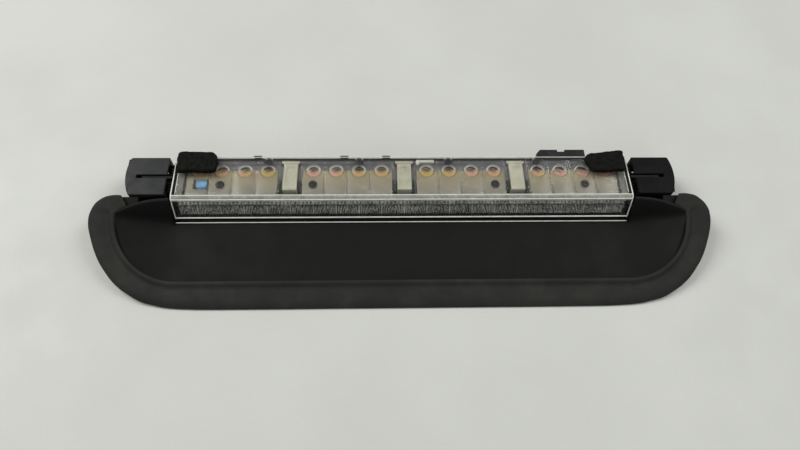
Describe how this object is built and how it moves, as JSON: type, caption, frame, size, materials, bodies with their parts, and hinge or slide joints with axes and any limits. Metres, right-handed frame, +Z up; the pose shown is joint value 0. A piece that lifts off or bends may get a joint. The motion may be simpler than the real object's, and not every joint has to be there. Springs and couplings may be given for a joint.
{
  "type": "third brake light",
  "caption": "High-mount stop lamp: black window hood with a soft glass lip, clear lensed LED bar along its rear edge, and a sprung catch at each end.",
  "frame": {"origin": "centre of the bounding box's bottom face, on the hood's flat underside", "axes": "+X along the light bar, +Y from the hood's front lip towards the lamp's rear, +Z up, away from the hood's flat underside"},
  "size_m": [0.388, 0.1034, 0.024],
  "materials": {
    "hood_black": "fine grained black polypropylene",
    "seal_rubber": "soft black elastomer, slightly dusty",
    "lens_clear": "clear polycarbonate, moulded optics inside",
    "gasket_rubber": "black foam rubber",
    "housing_black": "black moulded plastic",
    "frame_grey": "dark grey moulded plastic",
    "cup_white": "white moulded plastic",
    "board_green": "glass fibre board with solder mask",
    "led_black": "dark package with a clear window",
    "guide_amber": "clear acrylic, aged tan near the light sources",
    "screw_black": "black coated steel",
    "clip_cream": "natural nylon",
    "resistor_black": "chip resistor with tinned ends",
    "diode_black": "moulded package",
    "varistor_blue": "light blue epoxy coating",
    "header_white": "white nylon",
    "connector_black": "black glass-filled nylon",
    "pin_tin": "tinned",
    "foam_black": "open-cell black foam",
    "latch_black": "black moulded nylon, fine texture",
    "bracket_black": "black moulded nylon",
    "spring_steel": "oiled spring steel"
  },
  "bodies": {
    "lamp": {"shroud": "hood_black", "glass_seal": "seal_rubber", "outer_lens": "lens_clear", "lens_gasket": "gasket_rubber", "lamp_housing": "housing_black", "led_frame": "frame_grey", "led_cups": "cup_white", "circuit_board": "board_green", "leds": "led_black", "light_guide_far_left": "guide_amber", "light_guide_near_left": "guide_amber", "light_guide_near_right": "guide_amber", "light_guide_far_right": "guide_amber", "frame_screws": "screw_black", "guide_screws": "screw_black", "snap_clip_left": "clip_cream", "snap_clip_center": "clip_cream", "snap_clip_right": "clip_cream", "resistors": "resistor_black", "diode": "diode_black", "varistor": "varistor_blue", "board_header": "header_white", "connector_shell": "connector_black", "connector_pins": "pin_tin", "foam_pad_left": "foam_black", "foam_pad_right": "foam_black", "end_bracket_left": "bracket_black", "end_bracket_right": "bracket_black", "latch_spring_left": "spring_steel", "latch_spring_right": "spring_steel"},
    "latch_left_body": {"latch_left": "latch_black"},
    "latch_right_body": {"latch_right": "latch_black"}
  },
  "joints": [
    {"name": "latch_left_slide", "type": "slide", "parent": "lamp", "child": "latch_left_body", "axis": [1, 0, 0], "range_m": [0, 0.0025], "stiffness_N_per_m": 400, "springref_m": -0.005, "deforming": ["latch_spring_left"]},
    {"name": "latch_right_slide", "type": "slide", "parent": "lamp", "child": "latch_right_body", "axis": [-1, 0, 0], "range_m": [0, 0.0025], "stiffness_N_per_m": 400, "springref_m": -0.005, "deforming": ["latch_spring_right"]}
  ]
}
